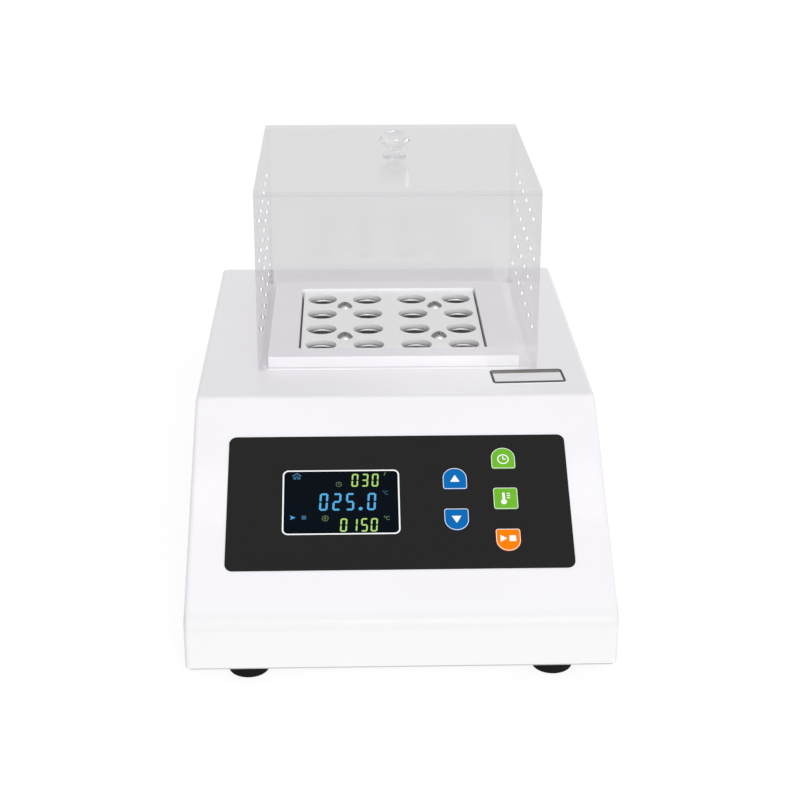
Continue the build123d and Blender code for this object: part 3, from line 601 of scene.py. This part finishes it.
def foil_finish():
    nodes = new_finish("label_silver")
    fine = nodes.noise(0.3 * mm, 2.0, lengthwise)
    nodes.principled({
        "Base Color": nodes.mix(fine, (0.80, 0.80, 0.81), (0.86, 0.86, 0.87)),
        "Metallic": 0.2,
        "Roughness": 0.4 + fine * 0.1,
        "Normal": nodes.bump(fine, 0.005 * mm),
    })


def lens_finish():
    nodes = new_finish("lens_dark")
    low, high = (band_top + up_slope * math.sin(slope) for up_slope in (lens_foot, lens_head))
    rise = nodes.ramp(nodes.height(), low, high)
    nodes.principled({
        "Base Color": nodes.mix(rise, (0.0006, 0.0034, 0.0075), (0.0005, 0.0022, 0.0055)),
        "Roughness": 0.1 + nodes.noise(12.0 * mm) * 0.05,
        "Specular IOR Level": 0.02,
    })


def fuse_finish():
    nodes = new_finish("fuse_glass")
    haze = nodes.noise(3.0 * mm)
    nodes.principled({
        "Base Color": nodes.mix(haze, (0.80, 0.84, 0.84), (0.90, 0.93, 0.93)),
        "Roughness": 0.05 + haze * 0.05,
        "Alpha": 0.55,
    })


foil_finish()
lens_finish()
fuse_finish()
print("foil, lens and fuse made")

# %% [markdown]
# ## Clear acrylic
#
# The cover is five glued sheets of clear acrylic. Bending the light in each sheet would blacken its edges and
# throw the whole inside into shadow, and the real sheets show neither. So the light goes straight through a
# faint tint, and a mirror is mixed in, weak face on and stronger at a glancing angle, by the fifth power of
# how far the sheet is turned away. Light on its way to lit surfaces skips the mirror. A sheet looks darker
# through its sawn edges, so faces that don't look along the sheet's own axis take a deeper tint.

# %% Acrylic sheets
pane_tint, side_tint = (0.982, 0.98, 0.984), (0.987, 0.985, 0.989)
sawn_tint, mirror_tint = (0.965, 0.962, 0.97), grey(0.95)


def sheet_finish(name, axis, tint, mirror_rise):
    """Clear acrylic for a sheet whose faces look along the given axis."""
    nodes = new_finish(name)
    edge = 1.0 - (nodes.maths("ABSOLUTE", nodes.along("Normal", axis)) > 0.5)
    pane = nodes.add("ShaderNodeBsdfTransparent", {"Color": tint})
    sawn = nodes.add("ShaderNodeBsdfTransparent", {"Color": sawn_tint})
    clear = nodes.add("ShaderNodeMixShader", {0: edge, 1: pane, 2: sawn})
    mirror = nodes.add("ShaderNodeBsdfGlossy", {"Color": mirror_tint, "Roughness": 0.14})
    facing = nodes.add("ShaderNodeLayerWeight", {"Blend": 0.5}, out="Facing")
    glancing = nodes.maths("POWER", facing, 5.0)
    smears = nodes.noise(50.0 * mm, 3.0)
    share = (smears * 0.04 + 0.01 + mirror_rise * glancing) * (1.0 - nodes.lighting())
    nodes.output(nodes.add("ShaderNodeMixShader", {0: share, 1: clear, 2: mirror}))


sheet_finish("acrylic_level", "Z", pane_tint, 0.4)
sheet_finish("acrylic_front", "Y", pane_tint, 0.4)
sheet_finish("acrylic_side", "X", side_tint, 0.2)
print("acrylic sheets made")

# %% [markdown]
# The knob is turned from the solid and polished, so it bends what is behind it, and that is most of what can
# be seen of it. Glass with the refraction index of acrylic does this. Lamps still shine straight through it.

# %% Polished acrylic
def polished_finish():
    nodes = new_finish("acrylic_polished")
    smears = nodes.noise(8.0 * mm)
    glass = nodes.add("ShaderNodeBsdfGlass", {"Color": (0.97, 0.97, 0.975), "Roughness": 0.03, "IOR": 1.49})
    straight = nodes.add("ShaderNodeBsdfTransparent", {"Color": (0.95, 0.95, 0.955)})
    share = nodes.lighting() + smears * 0.05
    nodes.output(nodes.add("ShaderNodeMixShader", {0: share, 1: glass, 2: straight}))


polished_finish()
print("polished acrylic made")

# %% [markdown]
# ## Dress the CAD solids
#
# The record says which finish each node has, so one loop dresses them all. A few nodes take a closer match of
# their own: the cover's sheets by the way they face, its polished knob, the frame, and the domed screws of
# the plate.

# %% Give each node its finish
closer_match = {
    "cover_lid": "acrylic_level",
    "cover_front": "acrylic_front",
    "cover_back": "acrylic_front",
    "cover_left": "acrylic_side",
    "cover_right": "acrylic_side",
    "cover_knob": "acrylic_polished",
    "well_frame": "frame_white",
    "plate_screws": "screw_dome",
}
for part in frame["record"]["subparts"]:
    solid = frame["nodes"][part["node"]]
    finish_name = closer_match.get(part["node"], part["material_slot"])
    for material_slot in solid.material_slots:
        material_slot.material = finishes[finish_name]

# %% [markdown]
# ## Drawing flat shapes
#
# Printing is a layer of ink. It is drawn as flat faces in millimetres, given a thickness of a few hundredths,
# and laid on its surface. Rectangles with rounded corners make most of it: a key's arch is a rectangle whose
# two upper corners are rounded until they meet.

# %% Helpers for flat shapes
corner_steps = 14


def new_faces(bm, known):
    return [face for face in bm.faces if face not in known]


def rounded(bm, x, y, width, height, top_round=0.0, low_round=0.0):
    """A rectangle about (x, y) with its own rounding at the top and at the bottom."""
    known = set(bm.faces)
    corners = bmesh.ops.create_grid(bm, x_segments=1, y_segments=1, size=0.5)["verts"]
    bmesh.ops.scale(bm, vec=(width, height, 1.0), verts=corners)
    bmesh.ops.translate(bm, vec=(x, y, 0.0), verts=corners)
    upper = [v for v in corners if v.co.y > y]
    lower = [v for v in corners if v.co.y < y]
    arc = {"affect": "VERTICES", "segments": corner_steps, "profile": 0.5, "material": -1}
    for picked, radius in ((upper, top_round), (lower, low_round)):
        if radius:
            bmesh.ops.bevel(bm, geom=picked, offset=radius, **arc)
    return new_faces(bm, known)[0]


def disc(bm, x, y, radius, segments=40):
    known = set(bm.faces)
    place = Matrix.Translation((x, y, 0.0))
    bmesh.ops.create_circle(bm, cap_ends=True, segments=segments, radius=radius, matrix=place)
    return new_faces(bm, known)[0]


def polygon(bm, *points):
    return bm.faces.new([bm.verts.new((x, y, 0.0)) for x, y in points])


def ring(bm, face, inset, width):
    """Leaves of a face only a band of the given width, inset from its rim."""
    inward = {"faces": [face], "use_boundary": True, "use_even_offset": True}
    if inset:
        rim = bmesh.ops.inset_region(bm, thickness=inset, **inward)["faces"]
        bmesh.ops.delete(bm, geom=rim, context="FACES")
    band = bmesh.ops.inset_region(bm, thickness=width, **inward)["faces"]
    bmesh.ops.delete(bm, geom=[face], context="FACES")
    return band


print("shape helpers ready")

# %% [markdown]
# A flat drawing becomes a piece by being thickened, laid in place and handed to the body that it moves with.
# Ink sinks a little into its face, so that no gap shows under it, and stands a little proud of it.

# %% Lay the shapes on a surface
ink_sunk, ink_proud = 0.05, 0.06


def lay(name, bm, low, high, axes, body, finish):
    """Thickens the flat faces from low to high, lays them in place and hands them to a body."""
    for face in bm.faces:
        face.normal_update()
        if face.normal.z < 0:
            face.normal_flip()
    bmesh.ops.translate(bm, vec=(0.0, 0.0, low), verts=bm.verts)
    raised = bmesh.ops.extrude_face_region(bm, geom=bm.faces[:], use_keep_orig=True)["geom"]
    lifted = [v for v in raised if isinstance(v, bmesh.types.BMVert)]
    bmesh.ops.translate(bm, vec=(0.0, 0.0, high - low), verts=lifted)
    bmesh.ops.recalc_face_normals(bm, faces=bm.faces)
    bmesh.ops.transform(bm, matrix=axes, verts=bm.verts)
    mesh = bpy.data.meshes.new(name)
    bm.to_mesh(mesh)
    bm.free()
    mesh.materials.append(finishes[finish])
    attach(new_object(name, mesh), body)
    print(name, len(mesh.polygons), "faces")


def ink(name, bm, face, axes, body, finish):
    """Lays ink on a face that is so high above its axes."""
    lay(name, bm, face - ink_sunk, face + ink_proud, axes, body, finish)


print("ink is", ink_sunk + ink_proud, "mm thick")

# %% [markdown]
# ## Inks and lit digits
#
# White ink borders the display and the keys. The digits and the small signs are segments of a display that
# shine through the lens, so their finish gives light. The light is a little uneven, as in a cheap display.

# %% Ink and light
def glow_finish(name, colour):
    nodes = new_finish(name)
    uneven = nodes.noise(1.2 * mm)
    nodes.principled({
        "Base Color": grey(0.01),
        "Roughness": 0.4,
        "Specular IOR Level": 0.1,
        "Emission Color": nodes.mix(uneven, shaded(colour, 0.85), shaded(colour, 1.1)),
        "Emission Strength": 1.0,
    })


surface("ink_white", (0.95, 0.955, 0.955), 0.5, grain=0.15, depth=0.006, drift=0.03, specular=0.3)
surface("ink_dark", (0.045, 0.044, 0.046), 0.5, grain=0.15, depth=0.006, drift=0.1, specular=0.3)
surface("ink_head", (0.19, 0.175, 0.165), 0.5, grain=0.15, depth=0.006, drift=0.05, specular=0.3)
glow_finish("glow_green", (0.43, 0.71, 0.17))
glow_finish("glow_blue", (0.075, 0.42, 0.80))
glow_finish("glow_green_dim", (0.12, 0.20, 0.08))
glow_finish("glow_blue_mid", (0.05, 0.24, 0.44))
glow_finish("glow_blue_dim", (0.03, 0.11, 0.20))
print("inks and lights made")

# %% [markdown]
# ## The display
#
# The window has a thin white border. Inside are three numbers, whose digits have up to seven bars each, with
# small signs beside them: a house, a clock for the time, a target for the set value and an arrow with a
# square for standing still.

# %% Border of the display
lens_x, lens_rise = -33.1, 77.3
lens_width, lens_height, lens_round = 67.4, 43.7, 3.5
lens_border = 0.85
film_face, lens_face = 0.5, 0.5

bm = bmesh.new()
window = rounded(bm, lens_x, lens_rise, lens_width, lens_height, lens_round, lens_round)
ring(bm, window, 0.0, lens_border)
ink("display_border", bm, film_face, slope_axes, "base", "ink_white")

# %% [markdown]
# A seven-bar digit is up to seven copies of one long hexagon. The hexagon starts as a six-sided circle whose
# two halves are pulled apart, so that its ends stay pointed and neighbouring bars leave a mitred gap. A shear
# then leans the whole number a little to the right.

# %% Seven-bar digits
lit_bars = {"0": "abcdef", "1": "bc", "2": "abged", "3": "abgcd", "5": "afgcd"}
digit_lean = 0.055


def bar(bm, x, y, length, thick, standing):
    """A bar with pointed ends about (x, y)."""
    points = bmesh.ops.create_circle(bm, cap_ends=True, segments=6, radius=thick / 2)["verts"]
    bmesh.ops.rotate(bm, matrix=Matrix.Rotation(math.pi / 6, 3, "Z"), verts=points)
    for side in (-1, 1):
        half = [v for v in points if v.co.x * side > thick * 0.01]
        bmesh.ops.translate(bm, vec=(side * (length - thick) / 2, 0.0, 0.0), verts=half)
    if standing:
        bmesh.ops.rotate(bm, matrix=Matrix.Rotation(math.pi / 2, 3, "Z"), verts=points)
    bmesh.ops.translate(bm, vec=(x, y, 0.0), verts=points)


def digit(bm, sign, left, low, width, height, thick):
    """One digit between its corners."""
    gap = thick * 0.3
    middle, right, half = left + width / 2, left + width, height / 2
    flat, tall = width - thick * 0.75 - gap, half - thick * 0.5 - gap
    upper_middle, lower_middle = low + height * 0.75 - thick / 8, low + height * 0.25 + thick / 8
    places = {
        "a": (middle, low + height - thick / 2, flat, False),
        "g": (middle, low + half, flat, False),
        "d": (middle, low + thick / 2, flat, False),
        "f": (left + thick / 2, upper_middle, tall, True),
        "b": (right - thick / 2, upper_middle, tall, True),
        "e": (left + thick / 2, lower_middle, tall, True),
        "c": (right - thick / 2, lower_middle, tall, True),
    }
    for name in lit_bars[sign]:
        x, y, length, standing = places[name]
        bar(bm, x, y, length, thick, standing)


def number(name, signs, lefts, low, width, height, thick, finish, dot=None):
    """Digits whose left edges are given, with a decimal point where dot says."""
    bm = bmesh.new()
    for sign, left in zip(signs, lefts):
        digit(bm, sign, left, low, width, height, thick)
    if dot:
        disc(bm, dot, low + thick * 0.85, thick * 0.8, 20)
    lean = Matrix(((1, digit_lean, 0, -digit_lean * low), (0, 1, 0, 0), (0, 0, 1, 0), (0, 0, 0, 1)))
    bmesh.ops.transform(bm, matrix=lean, verts=bm.verts)
    ink(name, bm, lens_face, slope_axes, "base", finish)


number("digits_time", "030", (-27.3, -21.5, -15.6), 87.5, 4.0, 8.95, 1.05, "glow_green")
number("digits_measured", "0250", (-46.0, -38.4, -30.8, -18.45), 71.4, 5.1, 11.9, 1.4, "glow_blue", dot=-22.0)
number("digits_set", "0150", (-34.0, -28.1, -22.2, -16.6), 57.2, 4.1, 9.0, 1.05, "glow_green")

# %% [markdown]
# The small signs are drawn from discs, rings and polygons. The degree sign is a small ring, and the letter
# after it is a ring that has lost its right side.

# %% Small signs on the display
def degree_sign(bm, x, y, size):
    ring(bm, disc(bm, x - size * 0.42, y + size * 0.32, size * 0.18, 16), 0.0, size * 0.09)
    band = ring(bm, disc(bm, x + size * 0.2, y, size * 0.42, 24), 0.0, size * 0.12)
    open_side = [f for f in band if f.calc_center_median().x > x + size * 0.2 + size * 0.22]
    bmesh.ops.delete(bm, geom=open_side, context="FACES")


def clock(bm, x, y, radius, width):
    """A ring with an upright hand and a level hand, drawn as one corner."""
    ring(bm, disc(bm, x, y, radius), 0.0, width)
    half = width * 0.8 / 2
    polygon(
        bm,
        (x - half, y - half),
        (x + radius * 0.5, y - half),
        (x + radius * 0.5, y + half),
        (x + half, y + half),
        (x + half, y + radius * 0.62),
        (x - half, y + radius * 0.62),
    )


def house(bm, x, y, size):
    """A roof over two walls and a floor, with a door left open."""
    line = size * 0.1
    eaves, ridge, foot = y + size * 0.05, y + size * 0.48, y - size * 0.45
    polygon(
        bm,
        (x - size * 0.55, eaves - line * 0.7),
        (x, ridge - line * 1.3),
        (x + size * 0.55, eaves - line * 0.7),
        (x + size * 0.55, eaves + line * 0.6),
        (x, ridge),
        (x - size * 0.55, eaves + line * 0.6),
    )
    wall_height = eaves - foot - line * 0.9
    for side in (-1, 1):
        rounded(bm, x + side * size * 0.36, foot + wall_height / 2, line, wall_height)
        rounded(bm, x + side * size * 0.24, foot + line / 2, size * 0.13, line)
        rounded(bm, x + side * size * 0.13, foot + size * 0.2, line * 0.8, size * 0.4)
    rounded(bm, x, foot + size * 0.45, size * 0.2, line * 0.8)


bm = bmesh.new()
clock(bm, -34.4, 89.3, 1.7, 0.35)
polygon(bm, (-8.4, 95.1), (-7.9, 95.1), (-7.0, 97.2), (-7.7, 97.2))
ring(bm, disc(bm, -42.2, 66.3, 1.9), 0.0, 0.4)
disc(bm, -42.2, 66.3, 0.7, 20)
degree_sign(bm, -6.9, 66.1, 3.0)
ink("display_signs_green", bm, lens_face, slope_axes, "base", "glow_green_dim")

bm = bmesh.new()
degree_sign(bm, -7.4, 83.2, 3.0)
rounded(bm, -54.4, 67.0, 2.6, 2.6, 0.3, 0.3)
ink("display_signs_blue", bm, lens_face, slope_axes, "base", "glow_blue_dim")

bm = bmesh.new()
house(bm, -58.7, 95.1, 4.6)
ink("display_house", bm, lens_face, slope_axes, "base", "glow_blue_mid")

bm = bmesh.new()
polygon(bm, (-62.4, 65.5), (-59.2, 67.0), (-62.4, 68.5), (-61.5, 67.0))
ink("display_arrow", bm, lens_face, slope_axes, "base", "glow_blue")

# %% [markdown]
# ## Keys
#
# Each key has a white line just inside its edge and a sign in its middle. The ink moves with the key when it
# is pressed, so it rides on the key's own body.

# %% Key borders and signs
key_width, key_height, key_corner = 14.0, 14.4, 1.5
key_margin, key_line = 0.1, 0.33
cap_face = 0.8
arch = key_width / 2 - 0.01
arrow_half, arrow_foot, arrow_tip = 2.8, 2.3, 2.4


def up_arrow(bm, x, y):
    polygon(bm, (x - arrow_half, y - arrow_foot), (x + arrow_half, y - arrow_foot), (x, y + arrow_tip))


def down_arrow(bm, x, y):
    polygon(bm, (x - arrow_half, y + arrow_foot), (x, y - arrow_tip), (x + arrow_half, y + arrow_foot))


def clock_sign(bm, x, y):
    clock(bm, x, y - 0.8, 3.4, 0.7)


def thermometer(bm, x, y):
    """A bulb and a tube, with three marks beside them."""
    disc(bm, x - 1.1, y - 2.4, 1.7, 32)
    rounded(bm, x - 1.1, y + 1.45, 1.5, 4.9, 0.74, 0.0)
    for step in range(3):
        rounded(bm, x + 1.7, y + 0.3 + step * 1.45, 1.9, 0.65)


def run_stop(bm, x, y):
    """A triangle for run and a square for stop."""
    polygon(bm, (x - 4.5, y - 1.4), (x - 0.7, y + 0.9), (x - 4.5, y + 3.2))
    rounded(bm, x + 2.5, y + 0.9, 3.8, 3.8, 0.2, 0.2)


keys = {
    "key_up": (32.8, 92.4, arch, key_corner, up_arrow),
    "key_down": (32.8, 64.6, key_corner, arch, down_arrow),
    "key_timer": (61.6, 106.3, arch, key_corner, clock_sign),
    "key_temperature": (61.6, 78.5, key_corner, key_corner, thermometer),
    "key_run": (61.6, 50.7, key_corner, arch, run_stop),
}
for name, (x, rise, top_round, low_round, sign) in keys.items():
    bm = bmesh.new()
    cap = rounded(bm, x, rise, key_width, key_height, top_round, low_round)
    ring(bm, cap, key_margin, key_line)
    sign(bm, x, rise)
    ink(name + "_print", bm, cap_face, slope_axes, name, "ink_white")

# %% [markdown]
# ## The blank plate on the top
#
# A foil plate is stuck beside the cover, a little askew. It has a dark border along its edge, broader at the
# foot, and a brown grey band at its head, and is otherwise bare.

# %% Border and head of the plate
label_place = (82.2 * mm, -33.5 * mm, casing_top)
label_turn = math.radians(2.3)
label_axes = Matrix.Translation(label_place) @ Matrix.Rotation(label_turn, 4, "Z") @ to_metres
label_face = 0.3
label_width, label_depth, label_round = 45.2, 22.9, 2.9
border_inset, border_width = 0.05, 1.5
foot_depth, head_depth = 1.5, 4.4
side_gap, foot_gap, head_gap = 0.1, 0.06, 0.1

bm = bmesh.new()
whole = rounded(bm, 0.0, 0.0, label_width, label_depth, label_round, label_round)
ring(bm, whole, border_inset, border_width)
inner_width = label_width - 2 * (border_width + side_gap)
inner_round = label_round - border_width
foot_middle = -label_depth / 2 + border_width + foot_gap + foot_depth / 2
rounded(bm, 0.0, foot_middle, inner_width, foot_depth, 0.0, inner_round)
ink("label_border", bm, label_face, label_axes, "base", "ink_dark")

head_middle = label_depth / 2 - border_width - head_gap - head_depth / 2
bm = bmesh.new()
rounded(bm, 0.0, head_middle, inner_width, head_depth, inner_round, 0.0)
ink("label_head", bm, label_face, label_axes, "base", "ink_head")

# %% [markdown]
# ## Shade in the plate's screws
#
# The plate's four screws have a cross recess, and hardly any light gets down it. A cross of black paint fills
# its lower part, short enough to stay inside the domed head. The screws lie one pitch of the wells from the
# middle.

# %% Black crosses
well_pitch, wells_y = 30.45, 56.6
cross_reach, cross_width = 4.3, 1.16
cross_foot, cross_head = 1.6, 2.5
arm_length = (cross_reach - cross_width) / 2
on_plate = Matrix.Translation((0.0, 0.0, plate_top)) @ to_metres

bm = bmesh.new()
for side in (-1, 1):
    for end in (-1, 1):
        rounded(bm, side * well_pitch, wells_y + end * well_pitch, cross_reach, cross_width)
        for arm in (-1, 1):
            arm_middle = wells_y + end * well_pitch + arm * (cross_width + arm_length) / 2
            rounded(bm, side * well_pitch, arm_middle, cross_width, arm_length)
lay("screw_shade", bm, cross_foot, cross_head, on_plate, "base", "ink_dark")

# %% [markdown]
# ## Frosted linings of the cover's holes
#
# The small holes in the cover's sides were drilled, which leaves their walls frosted. Frost scatters light,
# so each hole shows as a bright speck, lit by light that runs along inside the sheet. A short white tube
# lines every hole in the middle of the sheet, and its glow is painted light that stands in for that light. It
# is drawn as a ring in the plane of the sheet and thickened across it.

# %% A tube in every hole
cover_middle_y = 68.6
hole_pitch_y, hole_pitch_z, first_hole = 22.4, 22.3, 20.3
hole_rows, holes_in_long_row = 4, 7
lining_radius, lining_wall, lining_length = 1.19, 0.25, 0.75
sheet_middles = {"vents_left": -82.95, "vents_right": 87.75}
across_casing = on_casing @ Matrix(((0, 0, 1, 0), (1, 0, 0, 0), (0, 1, 0, 0), (0, 0, 0, 1)))
# The glow of the frosted tubes is painted light.
surface("frosted_acrylic_painted_glow", grey(0.95), 0.7, grain=0.2, depth=0.01, specular=0.3, glow=0.4)

for name, middle in sheet_middles.items():
    bm = bmesh.new()
    for row in range(hole_rows):
        count = holes_in_long_row - row % 2
        z = first_hole + row * hole_pitch_z
        for k in range(count):
            y = cover_middle_y + (k - (count - 1) / 2) * hole_pitch_y
            ring(bm, disc(bm, y, z, lining_radius, 16), 0.0, lining_wall)
    half = lining_length / 2
    lay(name, bm, middle - half, middle + half, across_casing, "cover", "frosted_acrylic_painted_glow")

# %% [markdown]
# The front sheet's lower edge was sawn and never polished. The light it catches is painted on as a thin white
# line.

# %% Painted highlight at the front sheet's foot
cover_front, line_middle, line_length = -20.7, 2.4, 163.0
line_foot, line_head, line_wall = 0.65, 1.05, 0.3

bm = bmesh.new()
rounded(bm, line_middle, cover_front + line_wall / 2 - ink_proud, line_length, line_wall)
# The white strip is a painted highlight.
lay("cover_foot_highlight", bm, line_foot, line_head, on_casing, "cover", "ink_white")

# %% [markdown]
# ## Marks on the mains switch
#
# The rocker carries the usual line for on and ring for off. Its two faces slope towards its middle, so each
# mark is laid on the plane of its own face.

# %% On and off marks
hinge = Vector((5.0, 186.5, 65.4)) * mm
rocker_tilt = math.radians(12.0)
rocker_dish, rocker_crown, rocker_half = 1.2, 3.4, 7.4
mark_rise = rocker_half * 0.52
face_slope = math.atan2(rocker_crown - rocker_dish, rocker_half)
rocker_axes = Matrix.Translation(hinge) @ Matrix.Rotation(-rocker_tilt, 4, "X") @ to_metres
facing_back = Matrix(((-1, 0, 0, 0), (0, 0, 1, 0), (0, 1, 0, 0), (0, 0, 0, 1)))

for name, side in (("rocker_on", 1), ("rocker_off", -1)):
    lean = Matrix.Translation((0.0, rocker_dish, 0.0)) @ Matrix.Rotation(-side * face_slope, 4, "X")
    bm = bmesh.new()
    if name == "rocker_on":
        rounded(bm, 0.0, side * mark_rise, 0.7, 3.0, 0.2, 0.2)
    else:
        ring(bm, disc(bm, 0.0, side * mark_rise, 1.5), 0.0, 0.6)
    ink(name, bm, 0.0, rocker_axes @ lean @ facing_back, "power_rocker", "ink_white")
